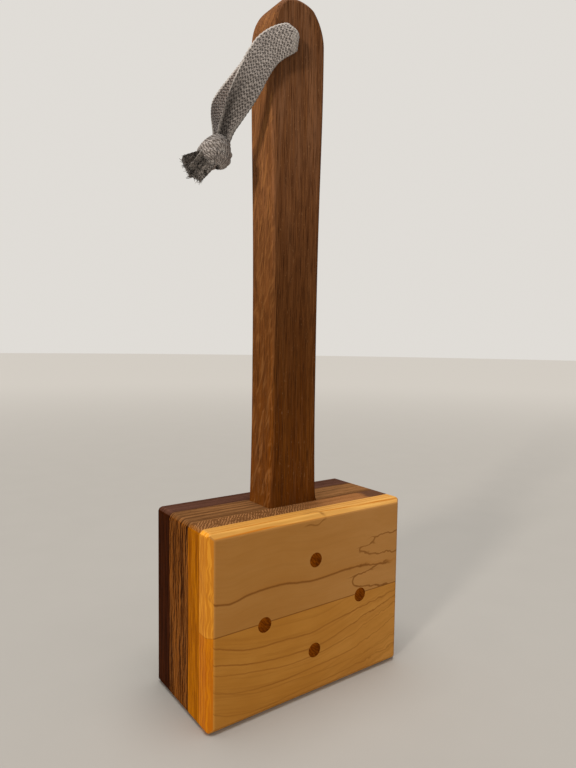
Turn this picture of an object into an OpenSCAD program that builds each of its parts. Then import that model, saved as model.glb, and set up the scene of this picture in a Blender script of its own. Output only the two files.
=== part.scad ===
// Laminated joiner's mallet, standing on its head with the handle up.
// The frame: +Z runs up the handle, X along the head from striking face to
// striking face, and -Y is the maple side. The origin is the middle of the
// head's underside. Every length is in millimetres.

/* [Head] */
// Length of the head, from one striking face to the other
head_length = 129; // [110:1:160]
// Height of the head, along the handle
head_height = 100; // [90:1:120]
// Chamfer around the front and back faces of the head
face_chamfer = 3; // [1:0.5:4]
// Chamfer across the ends of the head's top and bottom
end_chamfer = 2; // [1:0.5:4]

/* [Layers] */
// Thickness of the maple cheek at the front
maple_thickness = 10; // [8:1:14]
// Thickness of the oak layer behind the maple
oak_thickness = 12; // [8:1:16]
// Thickness of the core and of the handle that it holds
core_thickness = 22; // [20:1:28]
// Thickness of the dark cheek at the back
dark_thickness = 18; // [12:1:22]
// Height of the glue line between the two maple boards
maple_joint_height = 49; // [40:1:60]

/* [Dowels] */
// Diameter of the four dowels
dowel_diameter = 8; // [6:1:10]
// Height of the two side dowels
side_dowel_height = 48; // [40:1:60]
// Distance between the two side dowels
dowel_spread = 65; // [56:1:80]
// Distance between the two dowels that pin the handle
dowel_rise = 50; // [40:1:60]

/* [Handle] */
// Height of the whole mallet
overall_height = 373; // [340:1:420]
// Sideways place of the handle's centre line, measured from the head's middle
handle_side = 0.8; // [-1:0.1:1]
// Width of the handle at the head's underside
foot_width = 38; // [34:1:42]
// Width of the handle where it leaves the head
root_width = 33; // [30:0.5:34]
// Width of the handle at its waist
waist_width = 31; // [28:0.2:32]
// Height of the waist
waist_height = 160; // [140:5:180]
// Width of the handle at its grip end
grip_width = 35.4; // [33:0.2:36]
// Height at which the grip end is at its widest
grip_height = 335; // [325:1:336]
// Chamfer along the handle's four long edges
arris_chamfer = 1.6; // [1:0.2:3]
// Radius of the two shoulders at the grip end
shoulder_radius = 26; // [24:1:30]
// Distance from the top of the handle down to where the shoulders begin
shoulder_drop = 21; // [20:1:24]
// Angle through which each shoulder turns before it meets the crown
shoulder_turn = 46; // [40:1:50]

/* [Lanyard] */
// Diameter of the hole that the tape goes through
hole_diameter = 8; // [8:0.5:10]
// Distance from the top of the handle down to the hole
hole_drop = 21; // [18:1:24]
// Sideways place of the hole, measured from the head's middle
hole_side = -4; // [-4:1:0]
// Widening of the hole at both of its mouths
hole_flare = 0.8; // [0.4:0.2:1.2]
// Radius of the knot
knot_radius = 8.5; // [7:0.5:10]
// Length of the knot
knot_length = 17; // [14:1:20]

/* [Hidden] */

$fn = 64;
past = 1;                      // how far a cutter runs past what it cuts
head_depth = maple_thickness + oak_thickness + core_thickness + dark_thickness;

// The planes between the layers, from the front face to the back face
front_y = -head_depth / 2;
oak_y = front_y + maple_thickness;
core_y = oak_y + oak_thickness;
dark_y = core_y + core_thickness;
back_y = head_depth / 2;
core_mid_y = (core_y + dark_y) / 2;

hole_z = overall_height - hole_drop;
shoulder_z = overall_height - shoulder_drop;
side_steps = 30;               // straight pieces along each side of the grip
shoulder_steps = 10;           // straight pieces in each shoulder
crown_steps = 4;               // straight pieces in each half of the crown

// The corner between a shoulder and the crown, and the crown's own arc
corner_x = grip_width / 2 - shoulder_radius * (1 - cos(shoulder_turn));
corner_z = shoulder_z + shoulder_radius * sin(shoulder_turn);
crown_rise = overall_height - corner_z;
crown_radius = (corner_x * corner_x + crown_rise * crown_rise) / (2 * crown_rise);
crown_turn = asin(corner_x / crown_radius);

// The lanyard's route: [x, y, z, half width, half thickness, slant of the
// width from the X axis]. Both straps start in the middle of the hole.
front_route = [
    [-4, 2, 352, 3.4, 3.2, -80],
    [-4, -5, 352, 3.4, 3.2, -80],
    [-4, -9.6, 352, 3.4, 2.8, -80],
    [-4.8, -12, 351.4, 5, 2, -78],
    [-7, -13.4, 350, 6.6, 1.6, -74],
    [-10.4, -13.4, 347.8, 7.4, 1.4, -70],
    [-16, -12.6, 344.2, 7.8, 1.3, -58],
    [-21.4, -12, 339.4, 8, 1.3, -45],
    [-25.4, -11.8, 334, 8, 1.3, -37],
    [-28.6, -11.4, 328.4, 8, 1.3, -31],
    [-31.6, -10.8, 322.2, 7.8, 1.3, -27],
    [-34.4, -9.2, 316, 7.2, 1.3, -24],
    [-36.6, -6.8, 310.4, 6.4, 1.4, -24],
    [-38.4, -4.2, 305, 5.2, 1.5, -25],
    [-40, -1.6, 300, 4, 1.7, -25],
    [-41.2, 0, 295, 3.4, 1.8, -25]
];
back_route = [
    [-4, 2, 352, 3.4, 3.2, -80],
    [-4, 9, 352, 3.4, 3.2, -80],
    [-4, 13.6, 352, 3.4, 2.8, -80],
    [-4.8, 16, 351.2, 5, 2, -74],
    [-7, 17.6, 349, 6.6, 1.6, -64],
    [-10, 17.8, 345, 7.4, 1.4, -54],
    [-14, 17.4, 339.4, 7.8, 1.3, -45],
    [-18, 17, 334, 8, 1.3, -41],
    [-22, 16.8, 328.6, 8, 1.3, -39],
    [-26, 16.6, 323.4, 8, 1.3, -37],
    [-30, 16.2, 318, 7.8, 1.3, -34],
    [-33.4, 15, 313, 7.4, 1.3, -30],
    [-36.4, 12.8, 307.6, 6.2, 1.4, -24],
    [-38.6, 10, 303, 5, 1.5, -22],
    [-40.2, 7, 299, 4, 1.7, -22],
    [-41.4, 4.6, 295, 3.4, 1.8, -22]
];
long_tail_route = [
    [-47, 0, 281, 5, 1.6, -20],
    [-50, 0.4, 277, 4.8, 1.4, -22],
    [-52.4, 0.8, 273, 3.6, 1.3, -24],
    [-54, 1, 269.6, 2, 1.1, -26]
];
short_tail_route = [
    [-50, 3.6, 285.6, 4.6, 1.6, -76],
    [-54, 3.4, 283.6, 4.8, 1.4, -74],
    [-58, 3.2, 282, 4.4, 1.3, -72],
    [-62, 3, 280.8, 3.2, 1.1, -70]
];
knot_place = [-44, 2, 287];
knot_slant = 20;
strap_sides = 12;

// ---- the head ----

// The outline of a rectangle, centred on its middle, with its corners cut off
function cut_rectangle(w, h, cut) = [
    [-w / 2 + cut, -h / 2], [w / 2 - cut, -h / 2], [w / 2, -h / 2 + cut], [w / 2, h / 2 - cut],
    [w / 2 - cut, h / 2], [-w / 2 + cut, h / 2], [-w / 2, h / 2 - cut], [-w / 2, -h / 2 + cut]
];

// The whole head as one chamfered block
module head_block() {
    translate([0, 0, head_height / 2])
        intersection() {
            rotate([90, 0, 90])
                linear_extrude(head_length, center = true)
                    polygon(cut_rectangle(head_depth, head_height, face_chamfer));
            linear_extrude(head_height, center = true)
                polygon(cut_rectangle(head_length, head_depth, face_chamfer));
            rotate([90, 0, 0])
                linear_extrude(head_depth, center = true)
                    polygon(cut_rectangle(head_length, head_height, end_chamfer));
        }
}

// A slab of all space between two heights and two depths
module slab(y_low, y_high, z_low = -past, z_high = head_height + past) {
    translate([-head_length, y_low, z_low])
        cube([2 * head_length, y_high - y_low, z_high - z_low]);
}

module dowel(x, z, diameter = dowel_diameter, extra = 0) {
    translate([x, back_y + extra, z])
        rotate([90, 0, 0])
            cylinder(d = diameter, h = head_depth + 2 * extra);
}

module all_dowel_holes() {
    for (side = [-1, 1]) {
        dowel(side * dowel_spread / 2, side_dowel_height, extra = past);
        dowel(0, head_height / 2 + side * dowel_rise / 2, extra = past);
    }
}

module layer(y_low, y_high, z_low = -past, z_high = head_height + past) {
    difference() {
        intersection() {
            head_block();
            slab(y_low, y_high, z_low, z_high);
        }
        all_dowel_holes();
    }
}

// The part of the handle inside the head: a wedge, wider at the underside
module tenon() {
    translate([handle_side, dark_y, 0])
        rotate([90, 0, 0])
            linear_extrude(core_thickness)
                polygon([
                    [-foot_width / 2, 0], [foot_width / 2, 0],
                    [root_width / 2, head_height], [-root_width / 2, head_height]
                ]);
}

module core_block(side) {
    difference() {
        layer(core_y, dark_y);
        tenon();
        translate([side > 0 ? -head_length : 0, core_y - past, -past])
            cube([head_length, core_thickness + 2 * past, head_height + 2 * past]);
    }
}

// ---- the handle ----

// Half the handle's width at a height above the head: it narrows to the
// waist, then swells slowly towards the grip end
function flare(z) = pow((waist_height - z) / (waist_height - head_height), 2);
function swell(s) = pow(s, 4) * (5 - 4 * s);
function half_width(z) =
    z < waist_height ? (waist_width + (root_width - waist_width) * flare(z)) / 2
    : z > grip_height ? grip_width / 2
    : (waist_width + (grip_width - waist_width)
        * swell((z - waist_height) / (grip_height - waist_height))) / 2;

// The right side of the grip's outline, from the head up to just right of the
// top, drawn in by inset
function right_side(inset) = concat(
    [for (i = [0:side_steps - 1])
        let (z = head_height + (shoulder_z - head_height) * i / side_steps)
        [half_width(z) - inset, z]],
    [for (i = [0:shoulder_steps - 1])
        let (turn = shoulder_turn * i / shoulder_steps)
        [grip_width / 2 - shoulder_radius + (shoulder_radius - inset) * cos(turn),
            shoulder_z + (shoulder_radius - inset) * sin(turn)]],
    [let (
        meet = [cos(shoulder_turn) + sin(crown_turn), sin(shoulder_turn) + cos(crown_turn)],
        share = 1 + cos(shoulder_turn) * sin(crown_turn) + sin(shoulder_turn) * cos(crown_turn))
        [corner_x, corner_z] - inset * meet / share],
    [for (i = [1:crown_steps - 1])
        let (turn = crown_turn * (1 - i / crown_steps))
        [(crown_radius - inset) * sin(turn),
            overall_height - crown_radius + (crown_radius - inset) * cos(turn)]]
);

function grip_outline(inset) =
    let (right = right_side(inset), last = len(right) - 1)
    concat(right, [[0, overall_height - inset]], [for (i = [last:-1:0]) [-right[i][0], right[i][1]]]);

// Closes a stack of rings into one solid. Each ring is a list of points that
// run anticlockwise, seen from the last ring.
module skin(rings) {
    sides = len(rings[0]);
    polyhedron(
        points = [for (ring = rings) for (p = ring) p],
        faces = concat(
            [[for (k = [0:sides - 1]) k]],
            [for (i = [0:len(rings) - 2]) for (k = [0:sides - 1])
                let (a = i * sides + k, b = i * sides + (k + 1) % sides)
                each [[a, a + sides, b], [b, a + sides, b + sides]]],
            [[for (k = [sides - 1:-1:0]) (len(rings) - 1) * sides + k]]
        )
    );
}

function outline_at(y, inset) = [for (p = grip_outline(inset)) [p[0], y, p[1]]];

module grip() {
    translate([handle_side, 0, 0])
        skin([
            outline_at(dark_y, arris_chamfer),
            outline_at(dark_y - arris_chamfer, 0),
            outline_at(core_y + arris_chamfer, 0),
            outline_at(core_y, arris_chamfer)
        ]);
}

// The flare of one mouth of the lanyard hole, opening towards +Z
module mouth() {
    translate([0, 0, -hole_flare])
        cylinder(r1 = hole_diameter / 2, r2 = hole_diameter / 2 + hole_flare, h = hole_flare);
}

module lanyard_hole() {
    translate([hole_side, core_mid_y, hole_z])
        for (turn = [-90, 90])
            rotate([turn, 0, 0]) {
                cylinder(d = hole_diameter, h = core_thickness / 2 + past);
                translate([0, 0, core_thickness / 2])
                    mouth();
            }
}

// ---- the lanyard ----

function unit(v) = v / norm(v);
function place(row) = [row[0], row[1], row[2]];
function heading(route, i) =
    unit(place(route[min(i + 1, len(route) - 1)]) - place(route[max(i - 1, 0)]));

// One oval ring of a flat tape, square to the route at row i
function tape_ring(route, i) =
    let (
        row = route[i],
        along = heading(route, i),
        across = [cos(row[5]), 0, sin(row[5])],
        wide = unit(across - (across * along) * along),
        thick = cross(along, wide)
    )
    [for (k = [0:strap_sides - 1])
        let (a = k * 360 / strap_sides)
        place(row) + row[3] * cos(a) * wide + row[4] * sin(a) * thick];

module tape(route) {
    color("gray")
        skin([for (i = [0:len(route) - 1]) tape_ring(route, i)]);
}

// ---- one module per piece ----

module handle() {
    color("saddlebrown")
        difference() {
            union() {
                grip();
                tenon();
            }
            all_dowel_holes();
            lanyard_hole();
        }
}

module maple_cheek_upper() {
    color("burlywood") layer(front_y, oak_y, z_low = maple_joint_height);
}

module maple_cheek_lower() {
    color("tan") layer(front_y, oak_y, z_high = maple_joint_height);
}

module oak_layer() {
    color("peru") layer(oak_y, core_y);
}

module core_block_left() {
    color("sienna") core_block(-1);
}

module core_block_right() {
    color("sienna") core_block(1);
}

module dark_cheek() {
    color("#3b1c10") layer(dark_y, back_y);
}

module dowel_upper() {
    color("#7a4a1a") dowel(0, head_height / 2 + dowel_rise / 2);
}

module dowel_lower() {
    color("#7a4a1a") dowel(0, head_height / 2 - dowel_rise / 2);
}

module dowel_left() {
    color("#7a4a1a") dowel(-dowel_spread / 2, side_dowel_height);
}

module dowel_right() {
    color("#7a4a1a") dowel(dowel_spread / 2, side_dowel_height);
}

module lanyard_front_strap() {
    tape(front_route);
}

module lanyard_back_strap() {
    tape(back_route);
}

module lanyard_knot() {
    waist = knot_radius * 0.55;
    color("dimgray")
        translate(knot_place)
            rotate([0, knot_slant, 0])
                rotate_extrude()
                    polygon([
                        [0, -knot_length / 2], [waist, -knot_length / 2],
                        [knot_radius, -knot_length / 6], [knot_radius, knot_length / 6],
                        [waist, knot_length / 2], [0, knot_length / 2]
                    ]);
}

module lanyard_tail_long() {
    tape(long_tail_route);
}

module lanyard_tail_short() {
    tape(short_tail_route);
}

handle();
maple_cheek_upper();
maple_cheek_lower();
oak_layer();
core_block_left();
core_block_right();
dark_cheek();
dowel_upper();
dowel_lower();
dowel_left();
dowel_right();
lanyard_front_strap();
lanyard_back_strap();
lanyard_knot();
lanyard_tail_long();
lanyard_tail_short();
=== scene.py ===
import random
from itertools import product
from math import copysign, cos, exp, hypot, pi, radians, sin, sqrt

import bmesh
import bpy
from mathutils import Matrix, Vector


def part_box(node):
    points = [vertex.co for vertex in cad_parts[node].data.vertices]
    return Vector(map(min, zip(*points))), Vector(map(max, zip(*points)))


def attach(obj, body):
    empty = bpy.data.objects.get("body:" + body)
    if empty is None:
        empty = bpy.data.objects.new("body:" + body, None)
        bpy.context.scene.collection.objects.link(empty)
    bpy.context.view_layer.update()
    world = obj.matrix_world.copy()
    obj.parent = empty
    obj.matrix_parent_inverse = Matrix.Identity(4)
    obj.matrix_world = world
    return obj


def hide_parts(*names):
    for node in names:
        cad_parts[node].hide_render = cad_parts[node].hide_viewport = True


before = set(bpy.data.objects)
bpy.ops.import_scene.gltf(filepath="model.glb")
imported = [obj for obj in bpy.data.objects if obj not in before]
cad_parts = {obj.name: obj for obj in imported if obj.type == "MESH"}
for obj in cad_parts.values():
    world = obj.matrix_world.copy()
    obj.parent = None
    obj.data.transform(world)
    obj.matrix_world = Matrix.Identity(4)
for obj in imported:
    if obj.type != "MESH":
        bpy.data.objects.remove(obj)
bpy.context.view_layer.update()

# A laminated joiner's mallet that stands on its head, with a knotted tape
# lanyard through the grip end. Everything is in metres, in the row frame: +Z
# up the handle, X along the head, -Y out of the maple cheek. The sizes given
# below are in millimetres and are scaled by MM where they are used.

MM = 0.001
TURN = 2 * pi
TOUCH = 2e-5                   # in metres: nearer than this counts as the same place


def show(name, data):
    thing = bpy.data.objects.new(name, data)
    bpy.context.scene.collection.objects.link(thing)
    return thing


# ---- camera ----

CAMERA_PLACE = (-194.24, -272.72, 191.43)
CAMERA_YAW = 35.78             # turn from +Y towards +X
CAMERA_PITCH = -4.09
CAMERA_ROLL = 0.77
CAMERA_LENS = 27.75


def make_camera():
    yaw, pitch, roll = (radians(a) for a in (CAMERA_YAW, CAMERA_PITCH, CAMERA_ROLL))
    ahead = Vector((sin(yaw) * cos(pitch), cos(yaw) * cos(pitch), sin(pitch)))
    level = Vector((cos(yaw), -sin(yaw), 0))
    upright = level.cross(ahead)
    right = cos(roll) * level + sin(roll) * upright
    up = cos(roll) * upright - sin(roll) * level
    camera = show("camera", bpy.data.cameras.new("camera"))
    camera.data.lens = CAMERA_LENS
    camera.data.sensor_width = 36
    camera.data.clip_start = 0.01
    camera.data.clip_end = 50
    camera.matrix_world = Matrix.Translation(Vector(CAMERA_PLACE) * MM) @ Matrix(
        (right, up, -ahead)
    ).transposed().to_4x4()
    bpy.context.scene.camera = camera


# ---- meshes ----

def link(name, mesh, material, body):
    """A new piece that rides on a body and takes the given material."""
    piece = show(name, mesh)
    mesh.materials.append(material)
    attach(piece, body)
    return piece


def shade(form, sharp_degrees):
    """Smooth shading, with a crease on every edge sharper than that angle."""
    for face in form.faces:
        face.smooth = True
    for edge in form.edges:
        edge.smooth = len(edge.link_faces) == 2 and edge.calc_face_angle() < radians(sharp_degrees)


def wood_piece(node, form, material):
    """Turns a form into the piece that replaces a CAD node of the mallet."""
    mesh = bpy.data.meshes.new(node + "_wood")
    form.to_mesh(mesh)
    form.free()
    piece = link(mesh.name, mesh, material, "mallet")
    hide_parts(node)
    return piece


def copy_of(node):
    """A CAD node's shape with its flat faces whole, ready to be softened."""
    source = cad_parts[node].data
    form = bmesh.new()
    vertices = [form.verts.new(v.co) for v in source.vertices]
    for face in source.polygons:
        form.faces.new([vertices[i] for i in face.vertices])
    bmesh.ops.remove_doubles(form, verts=form.verts, dist=2e-6)
    bmesh.ops.dissolve_limit(form, angle_limit=radians(0.02), verts=form.verts, edges=form.edges)
    form.normal_update()
    return form


def even_normals(piece):
    """Keeps wide flat faces flat-looking beside their softened edges."""
    step = piece.modifiers.new("even_normals", "WEIGHTED_NORMAL")
    step.keep_sharp = True


def soften(form, edges, width, segments=3):
    bmesh.ops.bevel(
        form, geom=edges, offset=width * MM, segments=segments, profile=0.5,
        affect="EDGES", clamp_overlap=True,
    )
    form.normal_update()


# ---- head ----

HEAD_FACE_CHAMFER = 3.0
HEAD_END_CHAMFER = 2.0
HEAD_SOFTENING = 0.7
DOWEL_SOFTENING = 0.15


def head_planes():
    """The outer planes of the chamfered head, as (normal, distance from its middle)."""
    low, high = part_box("dark_cheek")
    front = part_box("maple_cheek_lower")[0].y
    middle = Vector(((low.x + high.x) / 2, (front + high.y) / 2, (low.z + high.z) / 2))
    half = high - middle
    cuts = {(0, 1): HEAD_FACE_CHAMFER, (1, 2): HEAD_FACE_CHAMFER, (0, 2): HEAD_END_CHAMFER}
    planes = []
    for sides in product((-1, 0, 1), repeat=3):
        axes = tuple(axis for axis in range(3) if sides[axis])
        if len(axes) in (1, 2):
            reach = sum(half[axis] for axis in axes) - cuts.get(axes, 0) * MM
            planes.append((Vector(sides).normalized(), reach / sqrt(len(axes))))
    return middle, planes


def head_piece(node, material):
    """A layer of the head, softened along the head's outer edges and not at its glue lines."""
    middle, planes = head_planes()

    def outer(face):
        place = face.calc_center_median() - middle
        return any(face.normal.dot(n) > 0.999 and abs(place.dot(n) - d) < TOUCH for n, d in planes)

    form = copy_of(node)
    edges = [
        e for e in form.edges
        if len(e.link_faces) == 2 and e.calc_face_angle() > radians(20)
        and all(outer(f) for f in e.link_faces)
    ]
    soften(form, edges, HEAD_SOFTENING)
    shade(form, 50)
    even_normals(wood_piece(node, form, material))


def dowel_piece(node, material):
    form = copy_of(node)
    rims = [e for e in form.edges if len(e.link_faces) == 2 and e.calc_face_angle() > radians(60)]
    soften(form, rims, DOWEL_SOFTENING, segments=2)
    shade(form, 40)
    wood_piece(node, form, material)


# ---- handle ----

ARRIS_CHAMFER = 1.6
# The arris in section, softened: how far in from the side and from the face
ARRIS = [
    (0, 2.35), (0.06, 1.88), (0.235, 1.45), (0.53, 1.07), (0.8, 0.8), (1.07, 0.53),
    (1.45, 0.235), (1.88, 0.06), (2.35, 0),
]
HOLE_MIDDLE = (-4.0, 352.0)
HOLE_RADIUS = 4.0
HOLE_FLARE = 0.8
HOLE_CLEAR = 6.0               # the grip's outline lies further than this from the hole's middle
ROUND_STEPS = 32


def handle_outline(depth):
    """The grip's outline in the CAD at one depth: up its right side, then down its left."""
    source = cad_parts["handle"].data
    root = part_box("dark_cheek")[1].z
    spots = {}
    for vertex in source.vertices:
        x, y, z = vertex.co
        if abs(y - depth) < TOUCH and z > root - TOUCH / 2:
            if hypot(x - HOLE_MIDDLE[0] * MM, z - HOLE_MIDDLE[1] * MM) > HOLE_CLEAR * MM:
                spots[(round(x, 6), round(z, 6))] = (x, z)
    top = max(spots.values(), key=lambda spot: spot[1])
    right = sorted((q for q in spots.values() if q[0] > top[0] + 1e-6), key=lambda q: q[1])
    left = sorted((q for q in spots.values() if q[0] < top[0] - 1e-6), key=lambda q: -q[1])
    return right + [top] + left


def handle_rings(front, back):
    """Outlines through the handle's thickness, from its front face to its back face.
    Each begins and ends with the tenon, whose arrises stay sharp."""
    full = handle_outline(front + ARRIS_CHAMFER * MM)
    drawn_in = handle_outline(front)
    foot_low, foot_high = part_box("handle")[0].x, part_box("handle")[1].x
    steps = [(inset, front + depth * MM) for inset, depth in reversed(ARRIS)]
    steps += [(inset, back - depth * MM) for inset, depth in ARRIS]
    rings = []
    for inset, y in steps:
        share = inset / ARRIS_CHAMFER
        grip = [
            (x + (inner_x - x) * share, z + (inner_z - z) * share)
            for (x, z), (inner_x, inner_z) in zip(full, drawn_in)
        ]
        grip[0] = (grip[0][0], full[0][1])
        grip[-1] = (grip[-1][0], full[-1][1])
        ring = [(foot_high, 0.0), full[0], *grip, full[-1], (foot_low, 0.0)]
        rings.append([Vector((x, y, z)) for x, z in ring])
    return rings


def wall(form, rings):
    """Skins a stack of closed rings and returns the edges of the two open ends."""
    made = [[form.verts.new(p) for p in ring] for ring in rings]
    around = len(made[0])
    for lower, upper in zip(made, made[1:]):
        for k in range(around):
            n = (k + 1) % around
            form.faces.new((lower[k], lower[n], upper[n], upper[k]))
    return [
        [form.edges.get((ring[k], ring[(k + 1) % around])) for k in range(around)]
        for ring in (made[0], made[-1])
    ]


def round_hole(form, x, z, stops):
    """The wall of a round hole along Y, given its radius at each depth, in metres."""
    turns = [TURN * k / ROUND_STEPS for k in range(ROUND_STEPS)]
    return wall(form, [
        [Vector((x + radius * cos(t), y, z + radius * sin(t))) for t in turns]
        for y, radius in stops
    ])


def handle_piece(material):
    low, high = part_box("handle")
    front, back = low.y, high.y
    form = bmesh.new()
    ends = wall(form, handle_rings(front, back))
    mouth = HOLE_RADIUS + HOLE_FLARE
    flared = [(0, mouth), (0.25, HOLE_RADIUS + 0.45), (HOLE_FLARE, HOLE_RADIUS)]
    stops = [(front + d * MM, r * MM) for d, r in flared]
    stops += [(back - d * MM, r * MM) for d, r in reversed(flared)]
    holes = [round_hole(form, HOLE_MIDDLE[0] * MM, HOLE_MIDDLE[1] * MM, stops)]
    for node in ("dowel_upper", "dowel_lower"):
        pin_low, pin_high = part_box(node)
        middle, radius = (pin_low + pin_high) / 2, (pin_high.x - pin_low.x) / 2
        holes.append(round_hole(form, middle.x, middle.z, [(front, radius), (back, radius)]))
    for side in (0, 1):
        edges = ends[side] + [e for hole in holes for e in hole[side]]
        normal = (0, 1 if side else -1, 0)
        bmesh.ops.triangle_fill(form, use_beauty=False, use_dissolve=False, edges=edges, normal=normal)
    bmesh.ops.recalc_face_normals(form, faces=form.faces)
    form.normal_update()
    shade(form, 30)
    even_normals(wood_piece("handle", form, material))


# ---- tape ----

TAPE_WIDTH = 16.0
STITCH_WIDE = 2.0
STITCH_LONG = 2.3
BUNCHING = 0.45                # share of the width lost in a narrow place that goes into a bow
HEM_PLACE = 0.93               # as a share of the way from the middle to the edge
HEM_WIDTH = 0.05
HEM_RISE = 0.5
EDGE_RIPPLE = 0.14
# Rows along the tape, as the CAD has them: x, y, z, half width, half
# thickness, slant of the width from the X axis in degrees
FRONT_ROUTE = [
    (-4, 2, 352, 3.4, 3.2, -80), (-4, -5, 352, 3.4, 3.2, -80),
    (-4, -9.6, 352, 3.4, 2.8, -80), (-4.8, -12, 351.4, 5, 2, -78),
    (-7, -13.4, 350, 6.6, 1.6, -74), (-10.4, -13.4, 347.8, 7.4, 1.4, -70),
    (-16, -12.6, 344.2, 7.8, 1.3, -58), (-21.4, -12, 339.4, 8, 1.3, -45),
    (-25.4, -11.8, 334, 8, 1.3, -37), (-28.6, -11.4, 328.4, 8, 1.3, -31),
    (-31.6, -10.8, 322.2, 7.8, 1.3, -27), (-34.4, -9.2, 316, 7.2, 1.3, -24),
    (-36.6, -6.8, 310.4, 6.4, 1.4, -24), (-38.4, -4.2, 305, 5.2, 1.5, -25),
    (-40, -1.6, 300, 4, 1.7, -25), (-41.2, 0, 295, 3.4, 1.8, -25),
]
BACK_ROUTE = [
    (-4, 2, 352, 3.4, 3.2, -80), (-4, 9, 352, 3.4, 3.2, -80),
    (-4, 13.6, 352, 3.4, 2.8, -80), (-4.8, 16, 351.2, 5, 2, -74),
    (-7, 17.6, 349, 6.6, 1.6, -64), (-10, 17.8, 345, 7.4, 1.4, -54),
    (-14, 17.4, 339.4, 7.8, 1.3, -45), (-18, 17, 334, 8, 1.3, -41),
    (-22, 16.8, 328.6, 8, 1.3, -39), (-26, 16.6, 323.4, 8, 1.3, -37),
    (-30, 16.2, 318, 7.8, 1.3, -34), (-33.4, 15, 313, 7.4, 1.3, -30),
    (-36.4, 12.8, 307.6, 6.2, 1.4, -24), (-38.6, 10, 303, 5, 1.5, -22),
    (-40.2, 7, 299, 4, 1.7, -22), (-41.4, 4.6, 295, 3.4, 1.8, -22),
]
KNOT_TURN = [
    (-42.8, 1.2, 290.5, 3.2, 1.8, -24),
    (-43.6, 2.2, 288.5, 3.2, 1.8, -24),
    (-43, 3.2, 290.5, 3.2, 1.8, -23),
]


def eased(rows, per_gap, closed=False):
    """Rows set closer together on a smooth curve through the given ones."""
    found = []
    last = len(rows) if closed else len(rows) - 1
    for i in range(last):
        if closed:
            four = [rows[(i + k) % len(rows)] for k in (-1, 0, 1, 2)]
        else:
            four = [rows[max(i - 1, 0)], rows[i], rows[i + 1], rows[min(i + 2, last)]]
        for k in range(per_gap):
            t = k / per_gap
            found.append(tuple(
                0.5 * (2 * b + (c - a) * t + (2 * a - 5 * b + 4 * c - d) * t * t
                       + (3 * b - a - 3 * c + d) * t ** 3)
                for a, b, c, d in zip(*four)
            ))
    if not closed:
        found.append(tuple(float(v) for v in rows[-1]))
    return found


def cup_angle(chord_share):
    """Half the angle of an arc whose chord is that share of its length."""
    angle = 0.02
    while angle < 2.6 and sin(angle) / angle > chord_share:
        angle += 0.02
    return angle


def any_way(dice):
    """A random vector, each part of it from -1 to 1."""
    return Vector([dice.uniform(-1, 1) for _ in range(3)])


def stitch_relief(across, along):
    """How far the knitting stands out, 0 to 1, at a place on the tape."""
    column = cos(TURN * across / STITCH_WIDE)
    return 0.5 - 0.5 * column * cos(TURN * along / STITCH_LONG)


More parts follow.
